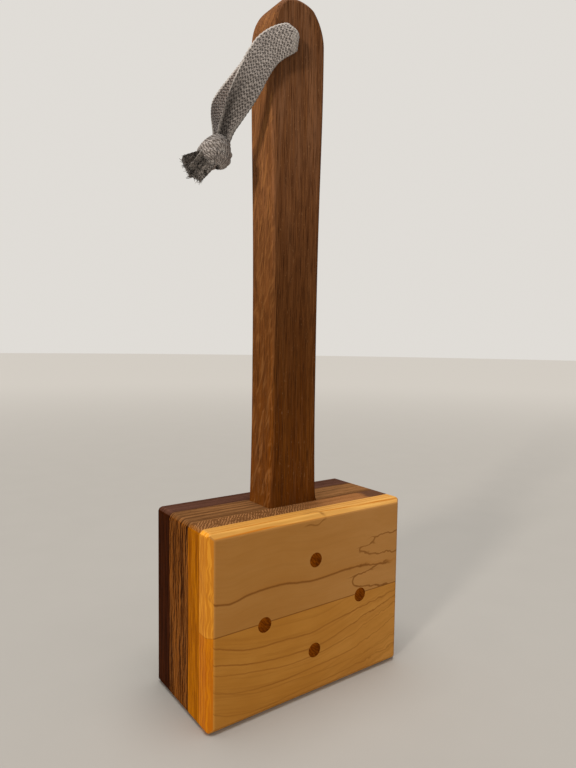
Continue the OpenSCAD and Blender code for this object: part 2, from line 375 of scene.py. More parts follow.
class Cloth:
    """Tape that is built up point by point. Each point also remembers how far across
    and along the tape it lies and on which side. steps are the gaps across the tape,
    thinner is the share of the CAD's thickness that it keeps, relief is how far its
    stitches stand out in millimetres, and drawn is 1, or 2 for cloth drawn tight."""

    def __init__(self, steps, thinner=0.5, relief=0.16, drawn=1):
        self.points, self.marks, self.faces = [], [], []
        self.steps = steps
        self.thinner = thinner
        self.relief = relief
        self.drawn = drawn

    def section(self, place, along, wide, half_width, half_thick, cup, run, pleat=0.0):
        """One closed ring: out along the tape's outer side and back along its inner one.
        cup is the way its edges bend: above 0 outwards, below 0 inwards, 0 flat."""
        wide = (wide - wide.dot(along) * along).normalized()
        out = along.cross(wide)
        length = half_width + (TAPE_WIDTH / 2 - half_width) * BUNCHING
        angle = cup_angle(half_width / length) * abs(cup)
        radius = length / angle if angle > 0.05 else 0
        ripple = EDGE_RIPPLE * cos(TURN * run / STITCH_LONG)
        for side in (1, -1):
            for k in range(self.steps + 1):
                s = (-1 + 2 * k / self.steps) * side
                if radius:
                    p = place + out * copysign(radius * (1 - sin(angle) / angle), -cup)
                    p += wide * radius * sin(s * angle)
                    p += out * copysign(radius * (1 - cos(s * angle)), cup)
                    facing = out * cos(s * angle) - wide * copysign(sin(s * angle), cup)
                else:
                    p, facing = place + wide * half_width * s, out
                edge = sqrt(max(0.0, 1 - abs(s) ** 8))
                bead = 1 + HEM_RISE * exp(-((abs(s) - HEM_PLACE) / HEM_WIDTH) ** 2)
                rise = self.relief * stitch_relief(s * TAPE_WIDTH / 2, run) * edge
                fold = pleat * cos(3.5 * pi * s + 0.6 * sin(run * 0.5)) * edge
                p = p + facing * (half_thick * self.thinner * edge * bead * side + rise * side + fold)
                p = p + wide * (ripple * s * abs(s) ** 7)
                self.points.append(p * MM)
                self.marks.append((s * TAPE_WIDTH / 2, run, side * self.drawn))

    def strip(self, rows, closed=False, middle=None, pleat=0.0, start=0.0):
        """Sweeps the tape along rows of x, y, z, half width, half thickness, slant, cup.
        With a middle, the tape lies flat around that point and the slant is not used."""
        places = [Vector(r[:3]) for r in rows]
        first, last, run = len(self.points), len(rows) - 1, start
        for i, row in enumerate(rows):
            if closed:
                along = (places[(i + 1) % len(rows)] - places[i - 1]).normalized()
            else:
                along = (places[min(i + 1, last)] - places[max(i - 1, 0)]).normalized()
            if i:
                run += (places[i] - places[i - 1]).length
            slant = radians(row[5])
            wide = Vector((cos(slant), 0, sin(slant)))
            if middle:
                wide = (places[i] - middle).cross(along)
            self.section(places[i], along, wide, row[3], row[4], row[6], run, pleat)
        around = 2 * (self.steps + 1)
        for i in range(len(rows) if closed else last):
            a = first + i * around
            b = first + (i + 1) % len(rows) * around
            for k in range(around):
                n = (k + 1) % around
                self.faces.append((a + k, b + k, b + n, a + n))
        if not closed:
            self.faces.append(tuple(range(first, first + around)))
            self.faces.append(tuple(range(first + last * around, first + (last + 1) * around))[::-1])

    def ball(self, middle, radius, seed):
        """A lumpy ball that fills the inside of the knot."""
        rings, around = 14, 20
        dice = random.Random(seed)
        waves = [(any_way(dice), dice.uniform(0, 6)) for _ in range(6)]
        first = len(self.points)
        for i in range(rings + 1):
            polar = pi * i / rings
            for k in range(around if 0 < i < rings else 1):
                turn = TURN * k / around
                level = sin(polar)
                way = Vector((level * cos(turn), level * sin(turn), cos(polar)))
                lump = sum(sin(6 * w.dot(way) + phase) for w, phase in waves) * 0.1
                self.points.append((middle + way * (radius + lump)) * MM)
                self.marks.append((turn * radius, polar * radius, self.drawn))
        rows = [[first] * around]
        rows += [[first + 1 + (i - 1) * around + k for k in range(around)] for i in range(1, rings)]
        rows.append([first + 1 + (rings - 1) * around] * around)
        for upper, lower in zip(rows, rows[1:]):
            for k in range(around):
                n = (k + 1) % around
                corners = dict.fromkeys((upper[k], lower[k], lower[n], upper[n]))
                self.faces.append(tuple(corners))

    def fibre(self, place, heading, length, radius, dice):
        """One loose thread end, as a thin tapering bent tube."""
        first, around, parts = len(self.points), 5, 5
        heading = heading.normalized()
        bend = any_way(dice) * 0.28
        across = dice.uniform(-7, 7)
        for i in range(parts + 1):
            side = heading.orthogonal().normalized()
            other = heading.cross(side)
            thick = radius * (1 - 0.55 * i / parts)
            for k in range(around):
                turn = TURN * k / around
                p = place + side * cos(turn) * thick + other * sin(turn) * thick
                self.points.append(p * MM)
                self.marks.append((across, i * 0.9, 1))
            place = place + heading * (length / parts)
            heading = (heading + bend).normalized()
        for i in range(parts):
            for k in range(around):
                a, b = first + i * around + k, first + i * around + (k + 1) % around
                self.faces.append((a, b, b + around, a + around))
        self.faces.append(tuple(range(first, first + around))[::-1])
        self.faces.append(tuple(range(first + parts * around, first + (parts + 1) * around)))

    def mesh(self, name):
        mesh = bpy.data.meshes.new(name)
        mesh.from_pydata(self.points, [], self.faces)
        mark = mesh.attributes.new("tape_place", "FLOAT_VECTOR", "POINT")
        mark.data.foreach_set("vector", [v for m in self.marks for v in m])
        mesh.polygons.foreach_set("use_smooth", [True] * len(mesh.polygons))
        return mesh


def with_cups(rows, cups):
    """Adds each row's cup, given as (height, cup) stops from high to low."""
    found = []
    for row in rows:
        z = row[2]
        cup = cups[0][1] if z > cups[0][0] else cups[-1][1]
        for (z1, c1), (z2, c2) in zip(cups, cups[1:]):
            if z1 >= z >= z2:
                cup = c1 + (c2 - c1) * (z1 - z) / (z1 - z2)
        found.append(tuple(row) + (cup,))
    return found


def make_lanyard(tape):
    front = with_cups(FRONT_ROUTE, [(352, -0.9), (344, -0.35), (334, 0), (320, 0.5), (306, 1)])
    back = with_cups(BACK_ROUTE, [(352, 0.9), (344, 0.35), (334, 0), (320, -0.5), (306, -1)])
    turn = [row + (cup,) for row, cup in zip(KNOT_TURN, (0.5, 0, -0.5))]
    rows = eased(front + turn + back[::-1], 12)
    cloth = Cloth(steps=44)
    cloth.strip(rows)
    loop = link("lanyard_loop", cloth.mesh("lanyard_loop"), tape, "lanyard")
    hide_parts("lanyard_front_strap", "lanyard_back_strap")


# ---- knot and tails ----

KNOT_MIDDLE = Vector((-44, 2, 287))
KNOT_UP = Vector((0.342, 0, 0.94))
KNOT_RIGHT = Vector((0.94, 0, -0.342))
KNOT_NEAR = Vector((0, -1, 0))
KNOT_FILLING = 5.9             # radius of the ball inside the turns
KNOT_CUP = -0.55
KNOT_PLEAT = 0.32
TAIL_STEPS = 8                 # rows made in each gap, and ragged rows at the end
END_THREADS = 90
SIDE_THREADS = 70
# The knot's two turns: right, near, up, half width, half thickness
UPPER_TURN = [
    (-5.6, -2.8, -3.4, 3.1, 1.5), (-6.3, 1.4, -2.2, 3.3, 1.5), (-5.1, 4.8, 0.7, 3.5, 1.5),
    (-2.4, 6.5, 3.7, 3.7, 1.5), (1.5, 5.6, 4.5, 3.5, 1.5), (3.9, 1.9, 4.2, 3.2, 1.5),
    (4.6, -2.3, 2.6, 3.1, 1.5), (3.4, -5.4, -0.2, 3.2, 1.5), (-0.2, -6.4, -2.4, 3.2, 1.5),
    (-4.2, -5.6, -3.3, 3.2, 1.5),
]
LOWER_TURN = [
    (-2.2, 5.9, -2.1, 3.8, 1.5), (3.8, 4.8, -1.5, 3.7, 1.5), (6.7, 0.5, -1, 3.8, 1.5),
    (6.2, -4.1, -1.6, 3.6, 1.5), (1, -6, -2.9, 3.4, 1.5), (-4.6, -4.2, -3.8, 3.2, 1.5),
    (-6.3, 0.9, -4, 3, 1.5), (-5, 4.3, -3.4, 3.4, 1.5),
]
LOW_TAIL = [
    (-48, 0.8, 284.6, 3.2, 1.8, -20, 0.75), (-50.9, 0, 281.6, 3.6, 1.7, -18, 0.8),
    (-53.4, 0.2, 278.6, 3.5, 1.6, -18, 0.75), (-55.4, 0.8, 276, 3, 1.5, -20, 0.65),
    (-56.8, 1, 273.8, 2.3, 1.4, -22, 0.5),
]
SIDE_TAIL = [
    (-46.5, 3, 284.6, 4, 1.8, -76, 0.6), (-49.6, 3.4, 282.8, 4.2, 1.7, -76, 0.7),
    (-53, 3.3, 280.9, 4, 1.6, -74, 0.65), (-56.6, 3.1, 279.2, 3.7, 1.5, -72, 0.5),
    (-59.8, 3, 277.8, 3.1, 1.4, -70, 0.35),
]


def knot_rows(turn):
    rows = []
    for right, near, up, half_width, half_thick in turn:
        place = KNOT_MIDDLE + right * KNOT_RIGHT + near * KNOT_NEAR + up * KNOT_UP
        rows.append((*place, half_width, half_thick, 0, KNOT_CUP))
    return eased(rows, 10, closed=True)


def make_knot(tape):
    cloth = Cloth(steps=26, thinner=0.75, relief=0.1, drawn=2)
    for turn, start in ((UPPER_TURN, 0.0), (LOWER_TURN, 60.0)):
        cloth.strip(knot_rows(turn), closed=True, middle=KNOT_MIDDLE, pleat=KNOT_PLEAT, start=start)
    cloth.ball(KNOT_MIDDLE, KNOT_FILLING, seed=4)
    knot = link("lanyard_knot_tape", cloth.mesh("lanyard_knot_tape"), tape, "lanyard")
    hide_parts("lanyard_knot")


def make_tail(name, node, rows, tape, seed):
    """A cut end of the tape, ragged and fraying into loose threads."""
    dice = random.Random(seed)
    cloth = Cloth(steps=26, thinner=0.7)
    fine = eased(rows, TAIL_STEPS)
    cloth.strip(fine, pleat=0.25, start=20.0 * seed)
    heading = (Vector(rows[-1][:3]) - Vector(rows[-2][:3])).normalized()
    around = 2 * (cloth.steps + 1)
    notch = [dice.uniform(-1.2, 0.9) for _ in range(cloth.steps + 1)]
    rings = len(fine)
    for i in range(rings - TAIL_STEPS, rings):
        share = (i - rings + TAIL_STEPS + 1) / TAIL_STEPS
        for k in range(around):
            column = k if k <= cloth.steps else around - 1 - k
            cloth.points[i * around + k] += heading * notch[column] * share * MM
    rim = cloth.points[(rings - 1) * around: rings * around]
    for _ in range(END_THREADS):
        root = rim[dice.randrange(len(rim))] / MM
        way = heading + any_way(dice) * 0.75
        length = dice.uniform(0.8, 2.8)
        cloth.fibre(root - heading * 0.6, way, length, dice.uniform(0.10, 0.20), dice)
    for _ in range(SIDE_THREADS):
        i = dice.randrange(len(fine) * around)
        root = cloth.points[i] / MM
        out = (root - Vector(fine[i // around][:3])).normalized()
        way = out + any_way(dice) * 0.8 + heading * 0.5
        length = dice.uniform(0.7, 1.8)
        cloth.fibre(root - out * 0.3, way, length, dice.uniform(0.07, 0.13), dice)
    tail = link(name, cloth.mesh(name), tape, "lanyard")
    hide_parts(node)


# ---- materials ----

# Places and lengths in materials are in millimetres, and colours are linear red,
# green and blue. In each of them, r is the recipe that is being written.

class Recipe:
    """One material. Each call adds a node and returns its output. ease, over and
    curve go smoothly from one value to another."""

    def __init__(self, name):
        self.material = bpy.data.materials.new(name)
        self.material.use_nodes = True
        self.tree = self.material.node_tree
        self.shader = next(n for n in self.tree.nodes if n.type == "BSDF_PRINCIPLED")
        coordinates = self.add("TexCoord")
        self.place = self.math3("MULTIPLY", coordinates.outputs["Object"], (1000, 1000, 1000))
        self.facing = coordinates.outputs["Normal"]
        self.x, self.y, self.z = self.parts(self.place)

    def put(self, socket, value):
        if isinstance(value, bpy.types.NodeSocket):
            self.tree.links.new(value, socket)
        else:
            socket.default_value = value

    def add(self, kind, *values):
        node = self.tree.nodes.new("ShaderNode" + kind)
        for socket, value in zip(node.inputs, values):
            self.put(socket, value)
        return node

    def math(self, operation, a, b=0, c=0):
        node = self.add("Math", a, b, c)
        node.operation = operation
        return node.outputs[0]

    def times(self, a, b):
        return self.math("MULTIPLY", a, b)

    def plus(self, a, b):
        return self.math("ADD", a, b)

    def minus(self, a, b):
        return self.math("SUBTRACT", a, b)

    def linear(self, value, slope, start):
        return self.math("MULTIPLY_ADD", value, slope, start)

    def larger(self, a, b):
        return self.math("MAXIMUM", a, b)

    def math3(self, operation, a, b):
        node = self.add("VectorMath", a, b)
        node.operation = operation
        return node.outputs[0]

    def parts(self, vector):
        return self.add("SeparateXYZ", vector).outputs

    def joined(self, x, y, z):
        return self.add("CombineXYZ", x, y, z).outputs[0]

    def noise(self, lengths, seed=0, detail=2, roughness=0.5, distortion=0, where=None):
        """Noise from 0 to 1 whose features have those lengths in millimetres."""
        scaled = self.math3("MULTIPLY", where or self.place, tuple(1 / v for v in lengths))
        node = self.add("TexNoise")
        node.inputs["Scale"].default_value = 1.0
        node.inputs["Detail"].default_value = detail
        node.inputs["Roughness"].default_value = roughness
        node.inputs["Distortion"].default_value = distortion
        self.put(node.inputs["Vector"], self.math3("ADD", scaled, (seed, seed * 1.7, seed * 0.6)))
        return node.outputs[0]

    def ease(self, value, low, high, out_low=0, out_high=1):
        """value from low to high, eased into out_low to out_high."""
        node = self.add("MapRange", value, low, high, out_low, out_high)
        node.interpolation_type = "SMOOTHSTEP"
        return node.outputs[0]

    def blend(self, share, a, b, way="MIX"):
        node = self.add("Mix")
        node.data_type = "RGBA"
        node.blend_type = way
        self.put(node.inputs["Factor"], share)
        for name, value in (("A", a), ("B", b)):
            socket = [s for s in node.inputs if s.name == name and s.type == "RGBA"][0]
            self.put(socket, value if isinstance(value, bpy.types.NodeSocket) else (*value, 1))
        return [s for s in node.outputs if s.type == "RGBA"][0]

    def over(self, colour, tone, value, low, high, most):
        """Lays a tone over a colour: none of it where value is low, most where it is high."""
        return self.blend(self.ease(value, low, high, 0, most), colour, tone)

    def curve(self, value, points, low, high, out_low, out_high):
        """A smooth curve through (value, out) points, whose values run from low to high."""
        node = self.add("FloatCurve")
        node.mapping.extend = "HORIZONTAL"
        bends = node.mapping.curves[0].points
        spots = [((v - low) / (high - low), (o - out_low) / (out_high - out_low)) for v, o in points]
        for spot in spots[1:-1]:
            bends.new(*spot)
        bends[0].location = spots[0]
        bends[len(bends) - 1].location = spots[-1]
        node.mapping.update()
        share = self.linear(value, 1 / (high - low), -low / (high - low))
        self.put(node.inputs["Value"], share)
        return self.linear(node.outputs[0], out_high - out_low, out_low)

    def finish(self, colour, roughness, height=None, depth=0.1):
        """Sets the surface. height runs from 0 to 1 over depth millimetres."""
        self.put(self.shader.inputs["Base Color"], colour)
        self.put(self.shader.inputs["Roughness"], roughness)
        if height is not None:
            bump = self.add("Bump")
            bump.inputs["Strength"].default_value = 1.0
            bump.inputs["Distance"].default_value = depth * MM
            self.put(bump.inputs["Height"], height)
            self.put(self.shader.inputs["Normal"], bump.outputs[0])
        return self.material


def oiled(r, gloss):
    """Oiled wood mirrors only faintly."""
    r.shader.inputs["Specular IOR Level"].default_value = gloss


def line(r, distance, width):
    """1 on a line and 0 further from it than width, all in millimetres."""
    return r.ease(r.math("ABSOLUTE", distance), width, 0)


def turned(r, axis, low=0.5, high=0.85):
    """1 where the surface faces along an axis of the frame, 0 where it does not."""
    return r.ease(r.math("ABSOLUTE", r.parts(r.facing)[axis]), low, high)


MAPLE_FACE_Y = -31.0
MAPLE_RISE = 1.4               # how far growth rings rise for each millimetre into the board
MAPLE_JOINT_Z = 49.0
# Growth lines on the maple's face, as (x, z) along each line
UPPER_MAIN = [
    (-64, 65.6), (-61, 65.3), (-52, 64.1), (-43, 65.8), (-30, 66.8), (-22, 66.8), (-11, 65.1),
    (-1, 64), (8, 64.2), (21, 65), (37, 64.8), (47, 62.6), (56, 62.4), (64, 62.3),
]
UPPER_SMALL = [(-64, 93), (-12, 93.4), (-5, 95), (1, 94), (5, 96), (64, 98)]
# The two tongues, as (z, x) up each outline
LOW_TONGUE = [
    (46, 70), (48.2, 61), (49, 54), (51.5, 40), (52.8, 33), (54.1, 29), (55.9, 27),
    (57.9, 27), (59.4, 29), (60.1, 38), (62.4, 46), (64, 60),
]
HIGH_TONGUE = [
    (66, 72), (68.1, 62), (70, 44), (71.8, 37), (73.5, 32), (75.3, 33), (76.2, 41),
    (78, 43), (79.4, 44), (79.9, 50), (80.6, 62), (82, 72),
]
# Each lower line: its width, its strength and its points
LOWER_LINES = [
    (0.5, 0.75, [
        (-64, 44.4), (-61, 43.7), (-42, 37.9), (-20, 36.5), (0, 35.4), (9, 37.1), (35, 40.4), (64, 45),
    ]),
    (0.45, 0.7, [
        (-64, 35.8), (-61, 35.3), (-42, 30.4), (-13, 27.2), (4, 27), (21, 30.7), (37, 35), (64, 41),
    ]),
    (0.4, 0.5, [
        (-64, 30.8), (-42, 25.9), (-8, 22), (27, 26.1), (41, 30.4), (60, 36.4), (64, 37.5),
    ]),
    (0.45, 0.6, [
        (-64, 22.6), (-42, 16.6), (8, 15.9), (25, 17.1), (40, 20.7), (64, 29),
    ]),
    (0.35, 0.35, [
        (-64, 24), (-40, 14.6), (-10, 12.6), (18, 11.6), (60, 16.5), (64, 17.5),
    ]),
    (0.4, 0.5, [
        (-64, 11.8), (-47, 6), (-32, 4.6), (-8, 5.8), (20, 6.4), (64, 11),
    ]),
]


def shaken(r):
    """A small waver, in millimetres, that keeps the lines from looking ruled."""
    small = r.minus(r.noise((4, 12, 4), seed=5.2), 0.5)
    large = r.minus(r.noise((15, 30, 15), seed=6.2), 0.5)
    return r.times(r.plus(small, large), 0.7)


def board_height(r):
    """Height as the growth rings see it: further in, the same ring lies higher."""
    rise = r.times(r.minus(r.y, MAPLE_FACE_Y), MAPLE_RISE)
    waver = r.minus(r.noise((5.5, 12, 5), seed=9.1), 0.5)
    wild = r.times(waver, r.ease(r.x, 15, 40, 0, 4.5))
    return r.plus(r.minus(r.z, rise), r.plus(shaken(r), wild))


def along_line(r, height, points):
    return r.minus(height, r.curve(r.x, points, -64, 64, 0, 100))


def tongue(r, height, points, width):
    """A line whose x is known for each height, kept to one width where it lies flat."""
    low, high = points[0][0], points[-1][0]

    def reach(shift):
        return r.curve(r.plus(height, shift), points, low, high, 20, 75)

    steep = r.times(r.minus(reach(0.25), reach(-0.25)), 2)
    square = r.math("SQRT", r.linear(steep, steep, 1))
    mark = line(r, r.math("DIVIDE", r.minus(r.x, reach(0)), square), width)
    inside = r.times(r.ease(height, low, low + 1), r.ease(height, high, high - 1))
    return r.times(mark, inside)


def upper_marks(r):
    height = board_height(r)
    flow = along_line(r, height, UPPER_MAIN)
    marks = r.times(line(r, flow, 0.95), r.ease(r.x, 59, 52))
    small = r.times(r.ease(r.x, -9, -5), r.ease(r.x, 8, 5))
    marks = r.larger(marks, r.times(line(r, along_line(r, height, UPPER_SMALL), 0.8), r.times(small, 0.7)))
    marks = r.larger(marks, tongue(r, height, LOW_TONGUE, 0.9))
    marks = r.larger(marks, r.times(tongue(r, height, HIGH_TONGUE, 0.85), 0.9))
    return flow, marks


def lower_marks(r, patch):
    height = board_height(r)
    flow = along_line(r, height, LOWER_LINES[1][2])
    marks = None
    for width, strength, points in LOWER_LINES:
        ridge = along_line(r, height, points)
        mark = r.times(line(r, ridge, 1.5 * width), strength)
        marks = mark if marks is None else r.larger(marks, mark)
    return flow, r.times(marks, r.ease(patch, 0.3, 0.6, 0.55))


# What differs between the two boards
MAPLE_LOOKS = {
    "maple_upper": dict(
        pale=(0.485, 0.226, 0.058), honey=(0.455, 0.204, 0.048), streaks=0.25,
        end=(0.55, 0.193, 0.013), seed=3.1, ring=(0.4, 0.118, 0.01),
        end_grain=(0.72, 0.3, 0.03), mark=(0.2, 0.068, 0.012),
    ),
    "maple_lower": dict(
        pale=(0.555, 0.246, 0.044), honey=(0.5, 0.21, 0.033), streaks=0.5,
        end=(0.475, 0.13, 0.003), seed=3.9, ring=(0.34, 0.078, 0.002),
        end_grain=(0.6, 0.2, 0.006), mark=(0.215, 0.06, 0.009),
    ),
}


def maple_end(r, look, colour, patch, end):
    """The deeper tone of the board's ends, with the growth rings' edges in bands."""
    colour = r.blend(r.times(end, 0.9), colour, look["end"])
    sway = r.times(r.noise((60, 30, 11), seed=look["seed"]), 4.5)
    gap = r.math("PINGPONG", r.times(r.plus(r.y, sway), 1 / 2.6), 0.5)
    rim = r.larger(turned(r, 0, 0.8, 0.98), turned(r, 2, 0.4, 0.7))
    rings = r.times(r.ease(gap, 0.2, 0), r.times(rim, r.ease(patch, 0.25, 0.65, 0.35, 0.95)))
    colour = r.blend(rings, colour, look["ring"])
    grain = r.noise((60, 0.8, 14), seed=8.3, detail=3, where=r.joined(r.x, r.plus(r.y, sway), r.z))
    pale_grain = r.times(end, r.ease(grain, 0.47, 0.62, 0, 0.85))
    return r.blend(pale_grain, colour, look["end_grain"])


def maple_painted_top_light(r, colour):
    """Painted light on the upper faces: they are made brighter, with a painted sheen along the grain."""
    top = turned(r, 2, 0.5, 0.7)
    colour = r.blend(top, colour, r.math3("MULTIPLY", colour, (1.4, 1.5, 1.35)))
    painted_sheen = r.ease(r.noise((40, 0.9, 7), seed=6.6), 0.48, 0.66, 0, 0.7)
    return r.blend(r.times(top, painted_sheen), colour, (0.86, 0.48, 0.125))


def maple(name):
    r = Recipe(name)
    oiled(r, 0.015)
    look, upper = MAPLE_LOOKS[name], name == "maple_upper"
    # The end mask also takes in the chamfers beside the ends, which get the ends' golden tone as painted
    # light.
    end = turned(r, 0, 0.4, 0.72)
    patch = r.noise((30, 14, 13), seed=1.5, detail=3)
    flow, marks = upper_marks(r) if upper else lower_marks(r, patch)
    bent = r.joined(r.x, r.y, flow)
    streak = r.noise((48, 1.1, 1.5), seed=2.2, detail=3, where=bent)
    fibre = r.noise((6, 0.3, 0.3), seed=4.7, where=bent)
    colour = r.blend(r.ease(patch, 0.3, 0.7), look["honey"], look["pale"])
    deeper = tuple(v * 0.86 for v in look["honey"])
    colour = r.over(colour, deeper, streak, 0.4, 0.72, look["streaks"])
    colour = r.over(colour, (0.46, 0.185, 0.032), fibre, 0.45, 0.75, 0.2)
    rightwards = r.ease(r.x, -30, 55)
    colour = r.blend(rightwards, colour, r.math3("MULTIPLY", colour, (1.08, 1.12, 1.3)))
    colour = maple_end(r, look, colour, patch, end)
    # Painted light and a painted sheen on the upper faces.
    colour = maple_painted_top_light(r, colour)
    shadow = r.ease(flow, 3.2, 0, 0, 0.3) if upper else r.ease(streak, 0.5, 0.7, 0, 0.2)
    above = r.ease(flow, -0.2, 0.2) if upper else 1.0
    colour = r.blend(r.times(shadow, above), colour, (0.44, 0.165, 0.028))
    marks = r.times(marks, r.ease(end, 0.2, 1, 0.8, 0.12))
    colour = r.blend(marks, colour, look["mark"])
    joint = line(r, r.minus(r.z, MAPLE_JOINT_Z), 0.45)
    joint = r.times(joint, r.ease(end, 0, 1, 0.8, 0.25))
    colour = r.blend(joint, colour, (0.16, 0.05, 0.009))
    roughness = r.ease(streak, 0.2, 0.8, 0.34, 0.46)
    height = r.plus(r.times(fibre, 0.6), r.times(streak, 0.4))
    height = r.minus(height, r.times(joint, 0.8))
    return r.finish(colour, roughness, height, depth=0.05)


RAY_PITCH = 1.75
RAY_LEAN = -0.72


def oak_rays(r, patch, top):
    """Slanting pale ray flecks on the oak's top, which fade out just right of its middle."""
    slant = r.linear(r.y, RAY_LEAN, r.x)
    wobble = r.times(r.noise((6, 5, 5), seed=9.4), 3.4)
    comb = r.math("SINE", r.times(r.plus(slant, wobble), TURN / RAY_PITCH))
    broken = r.noise((2.6, 3.4, 3), seed=9.9)
    reach = r.ease(r.linear(patch, 18, r.x), 24, 4)
    rays = r.times(r.ease(comb, -0.25, 0.75), r.ease(broken, 0.34, 0.52))
    return r.times(rays, r.times(reach, top))


def ray_oak():
    r = Recipe("ray_oak")
    oiled(r, 0.005)
    top = turned(r, 2)
    end = turned(r, 0)
    sway = r.times(r.noise((80, 20, 22), seed=6.3), 3)
    across = r.plus(r.y, sway)
    fine = r.noise((60, 0.55, 26), seed=7.1, detail=3, where=r.joined(r.x, across, r.z))
    pores = r.noise((5, 0.35, 4), seed=2.9, detail=3)
    patch = r.noise((30, 4, 30), seed=7.7)
    colour = r.blend(r.ease(patch, 0.3, 0.7), (0.37, 0.108, 0.0018), (0.56, 0.19, 0.0028))
    colour = r.blend(r.ease(fine, 0.36, 0.62, 0.1), (0.225, 0.06, 0.001), colour)
    # The top's tone, darker towards the left end: face grain, made lighter as painted light and greyed as
    # painted reflection from above.
    reached = r.ease(r.x, 30, -10, 1, 0.5)
    face = r.blend(r.ease(fine, 0.36, 0.64), (0.235, 0.09, 0.028), (0.43, 0.186, 0.064))
    face = r.blend(1, face, reached, way="MULTIPLY")
    colour = r.blend(top, colour, face)
    colour = r.over(colour, (0.085, 0.024, 0.004), pores, 0.56, 0.72, 0.4)
    rays = oak_rays(r, patch, top)
    colour = r.blend(r.times(rays, 0.85), colour, (0.41, 0.192, 0.074))
    corner = r.times(top, r.ease(r.linear(patch, 6, r.x), 49, 54, 0, 0.8))
    colour = r.blend(corner, colour, (0.085, 0.04, 0.027))
    gloss = r.times(end, r.ease(fine, 0.56, 0.7, 0, 0.5))
    colour = r.blend(gloss, colour, (0.66, 0.25, 0.006))
    roughness = r.ease(pores, 0.3, 0.7, 0.36, 0.52)
    height = r.minus(r.times(rays, 0.2), r.ease(pores, 0.5, 0.72))
    return r.finish(colour, roughness, height, depth=0.08)


def brown_core():
    r = Recipe("brown_core")
    oiled(r, 0.005)
    top = turned(r, 2)
    swirl = r.times(r.noise((50, 12, 11), seed=11.3, detail=3), 5)
    across = r.plus(r.y, swirl)
    bent = r.joined(r.x, across, r.z)
    band = r.noise((150, 3.6, 60), seed=12.1, where=bent)
    fine = r.noise((60, 0.6, 38), seed=12.8, detail=3, roughness=0.55, where=bent)
    ring = r.math("PINGPONG", r.times(across, 1 / 4.1), 0.5)
    pores = r.noise((6, 0.35, 12), seed=13.7, detail=3)
    fleck = r.noise((3, 0.45, 7), seed=14.2, distortion=0.5)
    colour = r.blend(r.ease(band, 0.36, 0.62), (0.046, 0.011, 0.001), (0.135, 0.038, 0.004))
    colour = r.over(colour, (0.3, 0.098, 0.014), fine, 0.49, 0.58, 0.85)
    colour = r.over(colour, (0.02, 0.0045, 0.0004), fine, 0.48, 0.42, 0.9)
    colour = r.over(colour, (0.3, 0.12, 0.032), fleck, 0.54, 0.68, 0.5)
    shade_low = r.times(r.ease(r.y, -7.5, -10), r.ease(r.z, 62, 46, 0.35, 0.8))
    colour = r.blend(shade_low, colour, (0.03, 0.0075, 0.0008))
    # The top's tone, lighter and greyer than the ends: face grain, with painted light and painted
    # reflection from above.
    face = r.blend(r.ease(band, 0.38, 0.6), (0.132, 0.055, 0.0185), (0.29, 0.131, 0.046))
    face = r.over(face, (0.32, 0.15, 0.055), fine, 0.42, 0.64, 0.55)
    colour = r.blend(top, colour, face)
    colour = r.over(colour, (0.038, 0.01, 0.0028), ring, 0.42, 0.5, 0.7)
    colour = r.over(colour, (0.035, 0.01, 0.003), pores, 0.54, 0.7, 0.5)
    roughness = r.ease(pores, 0.3, 0.7, 0.36, 0.52)
    return r.finish(colour, roughness, r.ease(pores, 0.72, 0.5), depth=0.1)


def dark_wood():
    r = Recipe("dark_wood")
    oiled(r, 0.004)
    streak = r.noise((70, 1.6, 24), seed=15.2, detail=3)
    pores = r.noise((5, 0.35, 3), seed=16.4, detail=3)
    colour = r.blend(r.ease(streak, 0.3, 0.7), (0.022, 0.0042, 0.0005), (0.046, 0.01, 0.0018))
    # The top is lighter and greyer than the back and the ends: painted light and painted reflection from
    # above.
    face = r.blend(r.ease(streak, 0.3, 0.7), (0.085, 0.034, 0.0205), (0.142, 0.064, 0.043))
    colour = r.blend(turned(r, 2), colour, face)
    colour = r.over(colour, (0.012, 0.003, 0.001), pores, 0.54, 0.72, 0.6)
    roughness = r.ease(pores, 0.3, 0.7, 0.36, 0.5)
    return r.finish(colour, roughness, r.ease(pores, 0.72, 0.5), depth=0.06)


# How light the handle is at each height
HANDLE_LEVELS = [(0, 0.86), (130, 0.86), (190, 0.76), (235, 0.85), (280, 1.1), (373, 1.14)]


